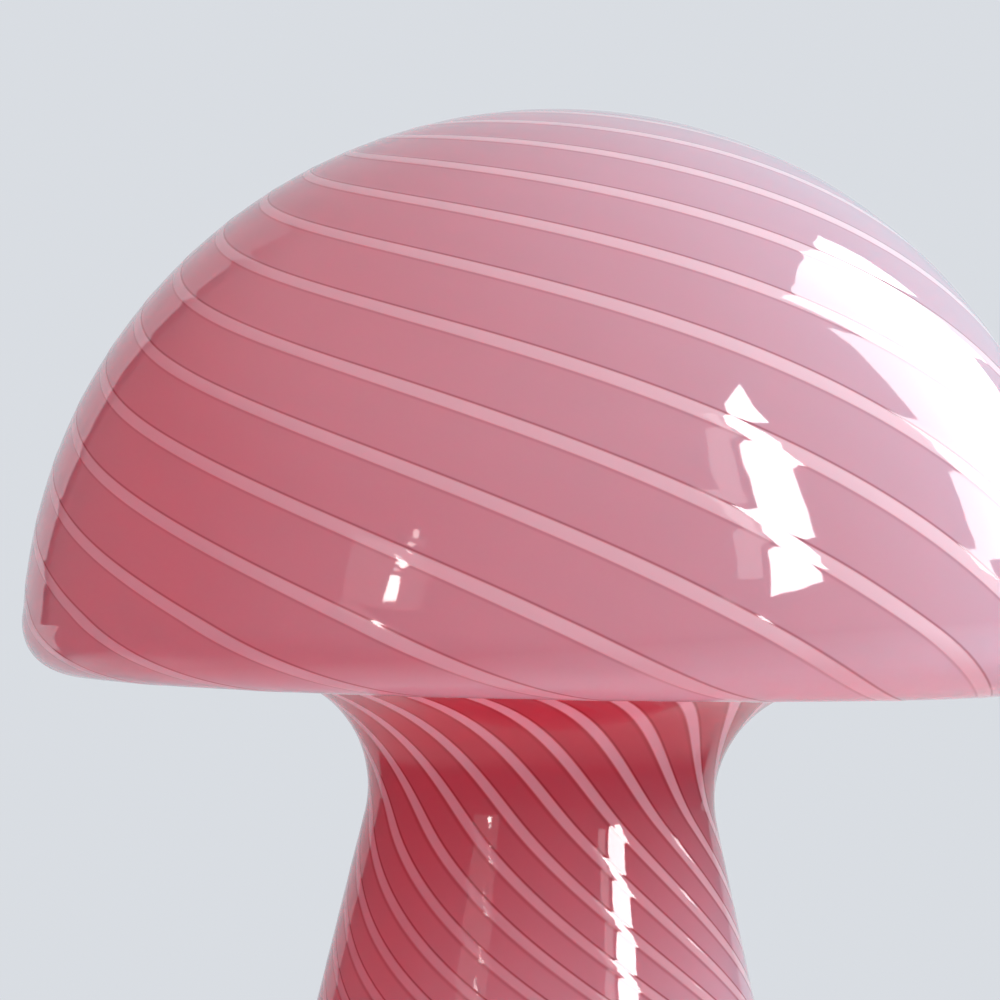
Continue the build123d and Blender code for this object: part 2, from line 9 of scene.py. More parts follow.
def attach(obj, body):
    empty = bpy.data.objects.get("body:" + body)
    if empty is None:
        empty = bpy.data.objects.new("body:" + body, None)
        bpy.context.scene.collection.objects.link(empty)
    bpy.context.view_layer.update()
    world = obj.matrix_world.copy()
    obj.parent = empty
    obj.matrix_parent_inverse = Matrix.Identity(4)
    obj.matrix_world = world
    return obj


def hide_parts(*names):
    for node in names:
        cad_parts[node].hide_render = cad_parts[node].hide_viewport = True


# Looks of the mushroom table lamp: one blown-glass body with raised swirl stripes, over its base,
# lampholder and bulb. The glass is worked out in millimetres and written in metres. The camera
# looks along +Y, with +X to the right. An azimuth on the glass is 0 towards the camera.

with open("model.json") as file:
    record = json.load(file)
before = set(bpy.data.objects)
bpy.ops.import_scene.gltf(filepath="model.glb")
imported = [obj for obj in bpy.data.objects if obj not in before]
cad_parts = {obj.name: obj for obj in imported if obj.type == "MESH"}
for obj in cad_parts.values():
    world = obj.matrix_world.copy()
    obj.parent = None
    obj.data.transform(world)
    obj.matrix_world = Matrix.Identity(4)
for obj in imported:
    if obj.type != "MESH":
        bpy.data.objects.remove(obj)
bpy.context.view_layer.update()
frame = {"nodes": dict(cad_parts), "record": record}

MM = 0.001
FULL_TURN = 2 * math.pi

# ------------------------------------------------- glass outline, in the same sizes as the frame's
TOTAL_HEIGHT = 265.0
CAP_DIAMETER = 220.0
CAP_HEIGHT = 118.3
RIM_RADIUS = 11.7
NECK_DIAMETER = 72.0
FLARE_RADIUS = 23.3
FOOT_DIAMETER = 116.5
FOOT_CURVE = 30.0
FOOT_RISE = 9.5
SEAT_HEIGHT = 12.0
GLASS_WALL = 3.5
GROUND_BEVEL = 0.6
RIM_HEIGHT = TOTAL_HEIGHT - CAP_HEIGHT
OUTLINE_STEP = 0.25

# ------------------------------------------------- how the hand-made glass leans
LEAN = 2.5  # the cap stands this far to the right of the foot
LEAN_START = 110.0
LEAN_REACH = 50.0

# ------------------------------------------------- swirl stripes
STRIPES = 22
POLE = (-34.9, 20.1)  # where the stripes meet, seen from above, from the middle of the cap
POLE_REACH = 254.0  # along the outline from the top: below this the stripes are centred
POLE_STEPS = 30  # steps of the search for a point's place between the pole and the axis
STRIPE_START = math.radians(0.5)  # azimuth of one stripe at TWIST_ANCHOR
TWIST_ANCHOR = 120.0
TWIST_END = 400
# (distance along the outline, degrees of turn per millimetre)
TWIST = ((0, 0.55), (60, 0.84), (120, 0.984), (170, 0.975), (208, 1.285), (245, 1.335),
         (265, 1.38), (285, 1.62), (303, 1.85), (330, 1.7), (380, 1.45))

# ------------------------------------------------- the glass's mesh
# rows of the outer skin: from, to and how many. The last run ends at the ground edge's bevel
ROW_RUNS = ((1.5, 120, 58), (121.3, 215, 76), (216.8, 300, 50), (302.2, None, 36))
# places of the mesh columns across one stripe's space, dense at the raised band
COLUMNS = (-0.5, -0.33, -0.2, -0.125, -0.095, -0.065, -0.03, 0.03, 0.065, 0.095, 0.125, 0.2, 0.33)
INNER_ROWS = 96
INNER_MARGIN = 4.0  # left free by these rows at both ends of the inner outline

# ------------------------------------------------- relief: a raised band and a groove beside it
BAND_HALF = 0.085  # half the band's width as a share of one stripe's space
RIB_HEIGHT = 0.055
RIB_SPREAD = 1.35  # half the raised part's width, in band halves
RIB_CROWN = 1.45  # over 1, the top of the raised part is flat
GROOVE_DEPTH = 0.02
GROOVE_PLACE = 1.6  # in band halves, like the next
GROOVE_WIDTH = 0.45
RIB_FULL_GAP = 7.0  # stripes closer together than this stand less proud
STEM_RIB = 0.42  # share of the relief that is left on the stem
STEM_RIB_FROM = 190.0  # along the outline: here the relief starts to go down
STEM_RIB_RUN = 30.0


def tangent_angle(across, up, reach):
    """Angle of a line whose ends stand off by reach in all, over a run of across and up."""
    middle = math.atan2(up, across)
    swing = math.acos(reach / math.hypot(across, up))
    return min(middle + swing, middle - swing, key=abs)


def arc_points(centre, radius, start, end):
    count = max(2, int(abs(end - start) * radius / OUTLINE_STEP) + 1)
    angles = np.linspace(start, end, count)
    return np.c_[centre[0] + radius * np.cos(angles), centre[1] + radius * np.sin(angles)]


def line_points(start, end):
    count = max(2, int(np.hypot(*(end - start)) / OUTLINE_STEP))
    return start + (end - start) * np.linspace(0, 1, count)[:, None]


def glass_outline(inset):
    """Points (radius, height) from the top of the cap to the ground edge, inset into the wall."""
    rim = (CAP_DIAMETER / 2 - RIM_RADIUS, RIM_HEIGHT + RIM_RADIUS)
    flare = (NECK_DIAMETER / 2 + FLARE_RADIUS, RIM_HEIGHT - FLARE_RADIUS)
    foot = (FOOT_DIAMETER / 2 - FOOT_CURVE, SEAT_HEIGHT + FOOT_RISE)
    rise = TOTAL_HEIGHT - rim[1]
    dome_radius = (rim[0] ** 2 + rise ** 2 - RIM_RADIUS ** 2) / (2 * (rise - RIM_RADIUS))
    dome = (0.0, TOTAL_HEIGHT - dome_radius)
    lift = math.atan2(rim[1] - dome[1], rim[0])
    stem = tangent_angle(foot[0] - flare[0], foot[1] - flare[1], -FLARE_RADIUS - FOOT_CURVE)
    ground = -math.asin(FOOT_RISE / (FOOT_CURVE - inset))
    cap = arc_points(dome, dome_radius - inset, math.pi / 2, lift)
    edge = arc_points(rim, RIM_RADIUS - inset, lift, -math.pi / 2)
    neck = arc_points(flare, FLARE_RADIUS + inset, math.pi / 2, math.pi + stem)
    base = arc_points(foot, FOOT_CURVE - inset, stem, ground)
    underside = line_points(edge[-1], neck[0])
    runs = [edge, underside, neck, line_points(neck[-1], base[0]), base]
    return np.vstack([cap] + [run[1:] for run in runs])


def along(points):
    """Distance of each point from the first, along the line through them."""
    return np.r_[0, np.cumsum(np.hypot(*np.diff(points, axis=0).T))]


def smoothstep(t):
    t = np.clip(t, 0, 1)
    return t * t * (3 - 2 * t)


def placed(radius, azimuth, height):
    """Points on the glass by radius, azimuth and height, with the lean of the cap over the foot."""
    shift = LEAN * np.clip((height - LEAN_START) / LEAN_REACH, 0, 1) ** 2
    x, y = radius * np.sin(azimuth) + shift, -radius * np.cos(azimuth)
    return np.stack(np.broadcast_arrays(x, y, height), -1)


def twist(distance):
    """Turn of the stripes, in radians, at a distance along the outline from the top."""
    marks = np.arange(0, TWIST_END, 1.0)
    rate = np.interp(marks, [t[0] for t in TWIST], [t[1] for t in TWIST])
    turn = np.r_[0, np.cumsum((rate[1:] + rate[:-1]) / 2)]
    return np.radians(np.interp(distance, marks, turn) - np.interp(TWIST_ANCHOR, marks, turn))


def swirl_grid(distances, columns):
    """Azimuth and distance down the outline of a grid's points. Its columns follow the stripes."""
    around = twist(distances)[:, None] + STRIPE_START - columns[None, :] * FULL_TURN / STRIPES
    x, y = distances[:, None] * np.sin(around), -distances[:, None] * np.cos(around)
    reach = np.hypot(x, y)
    for _ in range(POLE_STEPS):
        share = 1 - smoothstep(reach / POLE_REACH)
        px, py = x + POLE[0] * share, y + POLE[1] * share
        reach = np.hypot(px, py)
    return np.arctan2(px, -py), reach


def relief(columns, gap, distance):
    """Height over the plain glass: a raised band with a groove along its upper edge."""
    offset = (columns + 0.5) % 1.0 - 0.5
    rib = np.clip(RIB_CROWN * (1 - (offset / (BAND_HALF * RIB_SPREAD)) ** 2), 0, 1)
    groove = np.exp(-((offset + BAND_HALF * GROOVE_PLACE) / (BAND_HALF * GROOVE_WIDTH)) ** 2)
    stem = smoothstep((distance - STEM_RIB_FROM) / STEM_RIB_RUN)[:, None]
    share = np.clip(gap / RIB_FULL_GAP, 0, 1) * (1 - (1 - STEM_RIB) * stem)
    return (RIB_HEIGHT * rib - GROOVE_DEPTH * groove)[None, :] * share


def new_object(name, vertices, faces, smooth=True):
    mesh = bpy.data.meshes.new(name)
    mesh.from_pydata([tuple(v) for v in vertices], [], faces)
    mesh.validate()
    if smooth:
        mesh.shade_smooth()
    obj = bpy.data.objects.new(name, mesh)
    bpy.context.scene.collection.objects.link(obj)
    return obj


def outer_skin(rows, columns):
    """The pole where the stripes meet, the grid with its relief, and its last row's azimuths."""
    outline = glass_outline(0)
    length = along(outline)
    slope = np.gradient(outline, length, axis=0)

    def at(distance, values):
        return np.interp(distance, length, values)

    azimuth, distance = swirl_grid(rows, columns)
    radius, height = at(distance, outline[:, 0]), at(distance, outline[:, 1])
    out_r, out_z = -at(distance, slope[:, 1]), at(distance, slope[:, 0])
    step = np.gradient(twist(rows), rows)[:, None] * radius
    gap = FULL_TURN / STRIPES * radius / np.hypot(1, step)
    proud = relief(columns, gap, rows)
    grid = placed(radius + out_r * proud, azimuth, height + out_z * proud)

    pole_azimuth, pole_distance = swirl_grid(np.zeros(1), np.zeros(1))
    pole_radius, pole_height = (at(pole_distance, outline[:, k]) for k in (0, 1))
    return placed(pole_radius, pole_azimuth, pole_height), grid, azimuth[-1]


def inner_skin(azimuth):
    """Points from the ground edge, with a small bevel at both corners, up to the top inside."""
    outline = glass_outline(GLASS_WALL)
    length = along(outline)
    end = length[-1]
    rows = np.r_[end - GROUND_BEVEL, np.linspace(end - INNER_MARGIN, INNER_MARGIN, INNER_ROWS)]
    ground_outside = glass_outline(0)[-1, 0] - GROUND_BEVEL
    ground_inside = outline[-1, 0] + GROUND_BEVEL
    radius = np.r_[ground_outside, ground_inside, np.interp(rows, length, outline[:, 0])]
    height = np.r_[SEAT_HEIGHT, SEAT_HEIGHT, np.interp(rows, length, outline[:, 1])]
    top = placed(0.0, 0.0, TOTAL_HEIGHT - GLASS_WALL)
    return placed(radius[:, None], azimuth, height[:, None]), top


def write_swirl_map(mesh, columns, distances):
    """The swirl map holds the stripe number across, and each vertex's distance down the outline."""
    count, last = len(columns), len(mesh.vertices) - 1
    values = []
    for polygon in mesh.polygons:
        used = [(v - 1) % count for v in polygon.vertices if 0 < v < last]
        wraps = max(used) - min(used) > 1
        for v in polygon.vertices:
            if v in (0, last):
                across = columns[-1] if wraps else columns[min(used)]
            else:
                column = (v - 1) % count
                across = columns[column] + (STRIPES if wraps and column == 0 else 0)
            values += [across, distances[v]]
    mesh.uv_layers.new(name="swirl").data.foreach_set("uv", values)


def glass_mesh():
    """The whole glass body: a fine outer skin along the stripes, and a plain inner skin."""
    end = along(glass_outline(0))[-1]
    rows = np.concatenate([np.linspace(start, stop or end - GROUND_BEVEL, number)
                           for start, stop, number in ROW_RUNS])
    columns = (np.arange(STRIPES)[:, None] + np.array(COLUMNS)[None, :]).ravel()
    pole, outer, last_azimuth = outer_skin(rows, columns)
    inner, top = inner_skin(last_azimuth)
    vertices = np.vstack([part.reshape(-1, 3) for part in (pole, outer, inner, top)]) * MM

    count, levels = len(columns), len(outer) + len(inner)
    following = [(j + 1) % count for j in range(count)]
    faces = [(0, 1 + j, 1 + following[j]) for j in range(count)]
    for i in range(levels - 1):
        a, b = 1 + i * count, 1 + (i + 1) * count
        faces += [(a + j, b + j, b + following[j], a + following[j]) for j in range(count)]
    last = 1 + (levels - 1) * count
    faces += [(last + j, len(vertices) - 1, last + following[j]) for j in range(count)]
    obj = new_object("swirled_glass", vertices, faces)

    level_distances = np.r_[rows, np.full(len(inner), end)]
    distances = np.r_[0.0, np.repeat(level_distances, count), end] * MM
    write_swirl_map(obj.data, columns, distances)
    is_inside = np.zeros(len(vertices), np.float32)
    is_inside[1 + len(outer) * count:] = 1
    obj.data.attributes.new("inside", "FLOAT", "POINT").data.foreach_set("value", is_inside)
    return obj


# ------------------------------------------------- the bulb's screw cap, with its rolled thread
CAP_LOW = 96.7
CAP_TOP = 115.7
CAP_RADIUS = 6.95
CAP_INNER = 6.56
CAP_COLLAR = 113.3  # from here up the cap is drawn in round the bulb's neck
CAP_NECK = 6.25
CAP_ROUND = 0.5
CAP_ROUND_POINTS = 5
CAP_COLUMNS = 80
CAP_STEP = 0.2
THREAD_PITCH = 2.82
THREAD_DEPTH = 0.36
THREAD_START = 0.5  # over the cap's lower edge
THREAD_RUN_IN = 1.2  # the thread's depth comes in over this height, and goes out over the next
THREAD_RUN_OUT = 1.0


def threaded_cap():
    """The screw cap as one closed skin: threaded outside, plain inside."""
    around = np.linspace(0, FULL_TURN, CAP_COLUMNS, endpoint=False)
    height = np.arange(CAP_LOW, CAP_TOP - CAP_ROUND, CAP_STEP)
    run_in = smoothstep((height - CAP_LOW - THREAD_START) / THREAD_RUN_IN)
    run_out = smoothstep((CAP_COLLAR - height) / THREAD_RUN_OUT)
    wave = 0.5 - 0.5 * np.cos(FULL_TURN * height[:, None] / THREAD_PITCH - around[None, :])
    outer = CAP_RADIUS - THREAD_DEPTH * (run_in * run_out)[:, None] * wave
    bend = np.linspace(0, math.pi / 2, CAP_ROUND_POINTS)
    shoulder = np.c_[CAP_RADIUS - CAP_ROUND * (1 - np.cos(bend)),
                     CAP_TOP - CAP_ROUND * (1 - np.sin(bend))]
    inside = [(CAP_NECK, CAP_TOP), (CAP_NECK, CAP_COLLAR),
              (CAP_INNER, CAP_COLLAR), (CAP_INNER, CAP_LOW)]
    rest = np.vstack([shoulder, inside])
    radius = np.vstack([outer, np.repeat(rest[:, :1], CAP_COLUMNS, 1)])
    level = np.r_[height, rest[:, 1]][:, None]
    x, y = radius * np.cos(around), radius * np.sin(around)
    points = np.stack(np.broadcast_arrays(x, y, level), -1)
    levels = len(level)
    faces = []
    for i in range(levels):
        a, b = i * CAP_COLUMNS, (i + 1) % levels * CAP_COLUMNS
        for j in range(CAP_COLUMNS):
            k = (j + 1) % CAP_COLUMNS
            faces.append((a + j, a + k, b + k, b + j))
    return new_object("threaded_cap", points.reshape(-1, 3) * MM, faces)


# ------------------------------------------------- node trees
class Nodes:
    """Short calls for building a node tree."""

    def __init__(self, tree):
        self.tree = tree

    def add(self, kind, **values):
        node = self.tree.nodes.new(kind)
        for key, value in values.items():
            setattr(node, key, value)
        return node

    def link(self, source, target):
        self.tree.links.new(source, target)

    def feed(self, socket, value):
        if isinstance(value, bpy.types.NodeSocket):
            self.link(value, socket)
        else:
            socket.default_value = value

    def math(self, operation, a, b=0.0):
        node = self.add("ShaderNodeMath", operation=operation)
        for socket, value in zip(node.inputs, (a, b)):
            self.feed(socket, value)
        return node.outputs[0]

    def spread(self, value, low, high, to_low=0.0, to_high=1.0):
        node = self.add("ShaderNodeMapRange", interpolation_type="SMOOTHSTEP")
        for socket, v in zip(node.inputs, (value, low, high, to_low, to_high)):
            self.feed(socket, v)
        return node.outputs[0]

    def noise(self, scale, detail, stretch=None):
        node = self.add("ShaderNodeTexNoise")
        node.inputs["Scale"].default_value = scale
        node.inputs["Detail"].default_value = detail
        source = self.add("ShaderNodeTexCoord").outputs["Object"]
        if stretch:
            mapping = self.add("ShaderNodeMapping")
            mapping.inputs["Scale"].default_value = stretch
            self.link(source, mapping.inputs["Vector"])
            source = mapping.outputs[0]
        self.link(source, node.inputs["Vector"])
        return node.outputs["Fac"]

    def ramp(self, value, stops):
        node = self.add("ShaderNodeValToRGB")
        elements = node.color_ramp.elements
        while len(elements) < len(stops):
            elements.new(0.5)
        for element, (place, colour) in zip(elements, stops):
            element.position = place
            element.color = (*colour, 1.0)
        self.link(value, node.inputs["Fac"])
        return node.outputs["Color"]

    def level_ramp(self, value, stops):
        return self.ramp(value, [(place, (level,) * 3) for place, level in stops])

    def mix(self, share, a, b):
        node = self.add("ShaderNodeMix", data_type="RGBA")
        self.feed(node.inputs[0], share)
        for socket, value in ((node.inputs[6], a), (node.inputs[7], b)):
            self.feed(socket, (*value, 1.0) if isinstance(value, tuple) else value)
        return node.outputs[2]

    def mix_shaders(self, share, a, b):
        node = self.add("ShaderNodeMixShader")
        for socket, value in zip(node.inputs, (share, a, b)):
            self.link(value, socket)
        return node.outputs[0]

    def seen(self, paths):
        """1 for what the camera sees, straight or through glass."""
        straight, through = (paths.outputs[f"Is {kind} Ray"] for kind in ("Camera", "Transmission"))
        return self.math("MAXIMUM", straight, through)


class Finish(Nodes):
    """A new material, with its shader."""

    def __init__(self, name):
        self.material = bpy.data.materials.new(name)
        self.material.use_nodes = True
        super().__init__(self.material.node_tree)
        self.shader = self.tree.nodes["Principled BSDF"]

    def set(self, **values):
        for key, value in values.items():
            self.feed(self.shader.inputs[key.replace("_", " ")], value)

    def bump(self, height, distance, strength):
        node = self.add("ShaderNodeBump")
        node.inputs["Strength"].default_value = strength
        node.inputs["Distance"].default_value = distance
        self.link(height, node.inputs["Height"])
        self.link(node.outputs[0], self.shader.inputs["Normal"])
        return node.outputs[0]

    def surface(self, shader):
        self.link(shader, self.tree.nodes["Material Output"].inputs["Surface"])


# ------------------------------------------------- the pink glass
# Colours by distance down the outline, as a share of SPAN: the rim bends from 0.445 to 0.494, the
# flat underside ends at 0.60, and the neck is narrowest at 0.69. HAZE lies on the surface, and GLOW
# is the light that comes through. Each has another colour on the bands.
SPAN = 0.38
# HAZE is raised on the rim's lower bend, 0.482 to 0.495, as painted light from the pale table
# below, and kept low on the underside and neck, 0.56 to 0.66, as painted shade under the cap
HAZE = (
    (0.0, (0.22, 0.32, 0.39)), (0.25, (0.25, 0.37, 0.46)), (0.465, (0.25, 0.37, 0.46)),
    (0.482, (0.38, 0.58, 0.70)), (0.495, (0.38, 0.58, 0.70)), (0.56, (0.04, 0.06, 0.08)),
    (0.66, (0.06, 0.08, 0.11)), (0.80, (0.20, 0.29, 0.36)), (1.0, (0.22, 0.32, 0.40)),
)
BAND_HAZE = (
    (0.0, (0.46, 0.55, 0.62)), (0.50, (0.50, 0.60, 0.67)), (0.56, (0.58, 0.64, 0.72)),
    (0.66, (0.50, 0.55, 0.62)), (0.76, (0.33, 0.38, 0.43)), (1.0, (0.32, 0.39, 0.45)),
)
# GLOW dips between 0.55 and 0.69, most at 0.61 where the underside meets the flare: painted shade
# under the cap's rim
GLOW = (
    (0.0, (0.63, 0.027, 0.078)), (0.55, (0.63, 0.027, 0.078)), (0.61, (0.50, 0.020, 0.060)),
    (0.65, (0.60, 0.025, 0.074)), (0.69, (0.64, 0.028, 0.080)), (1.0, (0.63, 0.027, 0.078)),
)
BAND_GLOW = (0.64, 0.19, 0.26)
# Widths across a stripe, as shares of its space
BAND_WAVER = 0.03  # how much a band's half width wavers along it
WAVER_SCALE = 14.0  # of the noise that it wavers by
BAND_EDGE = 0.012  # half the softness of its edge
STEM_FROM, STEM_TO = 0.50, 0.60  # shares of SPAN between which the stem's values come in
STEM_BAND = 0.046  # added to a band's half width on the stem
STEM_EDGE = 0.022  # added to BAND_EDGE on the stem
# painted shade along the raised bands: a dark line at each band's upper edge and a soft shade below
# it
LINE_REACH = 0.016  # of the dark line along a band's upper edge, past that softness
SHADE_PLACE = 1.4  # of the soft shade along its lower edge, in edge softnesses
SHADE_REACH = 2.5
LINE_DARK = 0.6  # how dark the line and the shade are, and what the stem adds to both
SHADE_DARK = 0.25
STEM_DARK = 0.15
# colours towards which this painted shade darkens the haze and the glow
SHADED_HAZE = (0.06, 0.02, 0.03)
SHADED_GLOW = (0.25, 0.006, 0.012)
SHADED_GLOW_SHARE = 0.6
COARSE_RIPPLE = 26.0
FINE_RIPPLE = 120.0
FINE_RIPPLE_SHARE = 0.07
SLANT_POWER = 4.2  # how near the silhouette the glow fades
INNER_CLEAR = 0.85  # the colour lies in the outer skin, so the inner skin is mostly clear


def pink_glass():
    """Pink glass with milky bands: a pale haze lies on it, and red light shines through it. Painted
    shade lines the bands and darkens the underside and neck, and painted light brightens the rim's
    lower bend.
    """
    m = Finish("pink_glass")
    parts = m.add("ShaderNodeSeparateXYZ")
    m.link(m.add("ShaderNodeUVMap", uv_map="swirl").outputs["UV"], parts.inputs[0])
    down = m.math("DIVIDE", parts.outputs["Y"], SPAN)
    place = m.math("FRACT", m.math("ADD", parts.outputs["X"], 0.5))
    offset = m.math("SUBTRACT", place, 0.5)
    stem = m.spread(down, STEM_FROM, STEM_TO)
    waver = m.math("MULTIPLY", m.noise(WAVER_SCALE, 2.0), BAND_WAVER)
    half = m.math("ADD", waver, BAND_HALF - BAND_WAVER / 2)
    half = m.math("ADD", half, m.math("MULTIPLY", stem, STEM_BAND))
    edge = m.math("ADD", m.math("MULTIPLY", stem, STEM_EDGE), BAND_EDGE)
    outside = m.math("SUBTRACT", m.math("ABSOLUTE", offset), half)
    band = m.spread(m.math("DIVIDE", outside, edge), 1.0, -1.0)

    # painted shade: a dark line along the band's upper edge, by its raised relief, and a soft
    # painted shade along its lower one
    upper = m.math("ABSOLUTE", m.math("ADD", offset, m.math("ADD", half, edge)))
    shade_line = m.spread(m.math("DIVIDE", upper, m.math("ADD", edge, LINE_REACH)), 1.0, 0.0)
    shade_place = m.math("ADD", half, m.math("MULTIPLY", edge, SHADE_PLACE))
    lower = m.math("ABSOLUTE", m.math("SUBTRACT", offset, shade_place))
    shade = m.spread(m.math("DIVIDE", lower, m.math("MULTIPLY", edge, SHADE_REACH)), 1.0, 0.0)
    deeper = m.math("MULTIPLY", stem, STEM_DARK)
    dark = m.math("MAXIMUM", m.math("MULTIPLY", shade_line, m.math("ADD", deeper, LINE_DARK)),
                  m.math("MULTIPLY", shade, m.math("ADD", deeper, SHADE_DARK)))

    haze = m.mix(dark, m.mix(band, m.ramp(down, HAZE), m.ramp(down, BAND_HAZE)), SHADED_HAZE)
    glow = m.mix(m.math("MULTIPLY", dark, SHADED_GLOW_SHARE),
                 m.mix(band, m.ramp(down, GLOW), BAND_GLOW), SHADED_GLOW)
    m.set(Base_Color=haze, Roughness=0.035, IOR=1.5)
    fine = m.math("MULTIPLY", m.noise(FINE_RIPPLE, 1.0), FINE_RIPPLE_SHARE)
    ripple = m.math("ADD", m.noise(COARSE_RIPPLE, 1.0), fine)
    normal = m.bump(ripple, distance=0.0016, strength=0.35)

    # at a slant more light is mirrored and less comes through
    slant = m.math("POWER", m.add("ShaderNodeLayerWeight").outputs["Facing"], SLANT_POWER)
    through = m.add("ShaderNodeBsdfTranslucent")
    m.link(m.mix(slant, glow, (0.0, 0.0, 0.0)), through.inputs["Color"])
    m.link(normal, through.inputs["Normal"])
    both = m.add("ShaderNodeAddShader")
    m.link(m.shader.outputs[0], both.inputs[0])
    m.link(through.outputs[0], both.inputs[1])
    inside = m.add("ShaderNodeAttribute", attribute_name="inside").outputs["Fac"]
    clear = m.add("ShaderNodeBsdfTransparent").outputs[0]
    m.surface(m.mix_shaders(m.math("MULTIPLY", inside, INNER_CLEAR), both.outputs[0], clear))
    return m.material


# ------------------------------------------------- the other materials
BRUSHED = (1.0, 1.0, 12.0)  # stretch of the grain of turned and drawn metal


def darker(colour, share):
    return tuple(c * share for c in colour)


def moulded(name, colour, rough=0.42, grain=900.0, depth=0.00004):
    m = Finish(name)
    mottle = m.math("MULTIPLY", m.noise(60.0, 3.0), 0.10)
    m.set(Base_Color=m.mix(mottle, colour, darker(colour, 0.82)), IOR=1.46)
    m.set(Roughness=m.spread(m.noise(grain, 2.0), 0.0, 1.0, rough - 0.05, rough + 0.07))
    m.bump(m.noise(grain, 3.0), depth, strength=0.5)
    return m.material


def metal(name, colour, rough=0.28, tarnish=0.15):
    m = Finish(name)
    worn = m.math("MULTIPLY", m.spread(m.noise(70.0, 4.0), 0.35, 0.75), tarnish)
    m.set(Base_Color=m.mix(worn, colour, darker(colour, 0.45)), Metallic=1.0)
    grain = m.noise(240.0, 3.0, stretch=BRUSHED)
    m.set(Roughness=m.spread(grain, 0.2, 0.8, rough - 0.06, rough + 0.12))
    m.bump(m.noise(500.0, 2.0, stretch=BRUSHED), distance=0.00003, strength=0.4)
    return m.material


def clear_glass():
    m = Finish("clear_glass")
    m.set(Base_Color=(0.97, 0.98, 0.98, 1.0), Transmission_Weight=1.0, IOR=1.47)
    m.set(Roughness=m.spread(m.noise(30.0, 2.0), 0.0, 1.0, 0.0, 0.012))
    m.bump(m.noise(22.0, 1.0), distance=0.0006, strength=0.25)
    return m.material


def glazed_ceramic():
    m = Finish("glazed_ceramic")
    speck = m.math("MULTIPLY", m.spread(m.noise(1400.0, 2.0), 0.66, 0.72), 0.25)
    m.set(Base_Color=m.mix(speck, (0.80, 0.78, 0.72), (0.45, 0.40, 0.34)), IOR=1.55)
    m.set(Roughness=m.spread(m.noise(120.0, 3.0), 0.0, 1.0, 0.16, 0.34))
    m.bump(m.noise(300.0, 3.0), distance=0.00008, strength=0.4)
    return m.material


def phosphor():
    m = Finish("phosphor")
    grain = m.spread(m.noise(2600.0, 2.0), 0.3, 0.7)
    m.set(Base_Color=m.mix(grain, (0.86, 0.56, 0.10), (0.95, 0.70, 0.20)), Roughness=0.6)
    m.bump(m.noise(2200.0, 2.0), distance=0.00005, strength=0.4)
    return m.material


def circuit_board():
    m = Finish("circuit_board")
    weave = m.add("ShaderNodeTexWave", wave_type="BANDS", bands_direction="DIAGONAL")
    weave.inputs["Scale"].default_value = 900.0
    weave.inputs["Distortion"].default_value = 0.6
    m.link(m.add("ShaderNodeTexCoord").outputs["Object"], weave.inputs["Vector"])
    threads = weave.outputs["Fac"]
    m.set(Base_Color=m.mix(threads, (0.03, 0.20, 0.10), (0.05, 0.27, 0.14)), Roughness=0.38)
    m.bump(threads, distance=0.00004, strength=0.4)
    return m.material


MATERIALS = {
    "pink_glass": pink_glass(),
    "white_moulding": moulded("white_moulding", (0.82, 0.81, 0.78)),
    "holder_plastic": moulded("holder_plastic", (0.80, 0.79, 0.76), 0.30, 700.0, 0.00002),
    "ceramic": glazed_ceramic(),
    "soft_rubber": moulded("soft_rubber", (0.10, 0.10, 0.105), 0.70, 1300.0, 0.00008),
    "silicone": moulded("silicone", (0.72, 0.72, 0.70), 0.55, 1100.0, 0.00003),
    "zinc_steel": metal("zinc_steel", (0.62, 0.63, 0.65)),
    "white_tube": moulded("white_tube", (0.83, 0.82, 0.79), 0.34, 500.0, 0.00003),
    "contact_brass": metal("contact_brass", (0.72, 0.50, 0.22), rough=0.24),
    "clear_glass": clear_glass(),
    "nickel_shell": metal("nickel_shell", (0.70, 0.68, 0.64), rough=0.20, tarnish=0.10),
    "black_insulator": moulded("black_insulator", (0.03, 0.03, 0.035), rough=0.30, grain=800.0),
    "phosphor": phosphor(),
    "lead_wire": metal("lead_wire", (0.66, 0.64, 0.60), rough=0.30),
    "board": circuit_board(),
}


def dress(obj, material):
    obj.data.materials.clear()
    obj.data.materials.append(MATERIALS[material])


for row in frame["record"]["subparts"]:
    dress(frame["nodes"][row["node"]], row["material_slot"])

glass = glass_mesh()
dress(glass, "pink_glass")
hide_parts("glass_body")
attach(glass, "glass")

cap = threaded_cap()
dress(cap, "nickel_shell")
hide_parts("bulb_cap")
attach(cap, "bulb")

# ------------------------------------------------- camera
FOCAL_PIXELS = 4575.0  # of a picture 1000 pixels wide
PICTURE_WIDTH = 1000
ROLL = math.radians(1.047)  # the photo stands askew: the lamp's right side lies lower in it
SENSOR = 36.0
CAMERA_PLACE = (-0.00943, -0.950, 0.18178)
CAMERA_SHIFT = 0.0106  # upwards, for the photo's framing
camera_data = bpy.data.cameras.new("camera")
camera_data.sensor_width = SENSOR
camera_data.lens = FOCAL_PIXELS / PICTURE_WIDTH * SENSOR
camera_data.shift_y = CAMERA_SHIFT
camera = bpy.data.objects.new("camera", camera_data)
camera.location = CAMERA_PLACE
camera.rotation_euler = (math.pi / 2, -ROLL, 0)
bpy.context.scene.collection.objects.link(camera)
bpy.context.scene.camera = camera

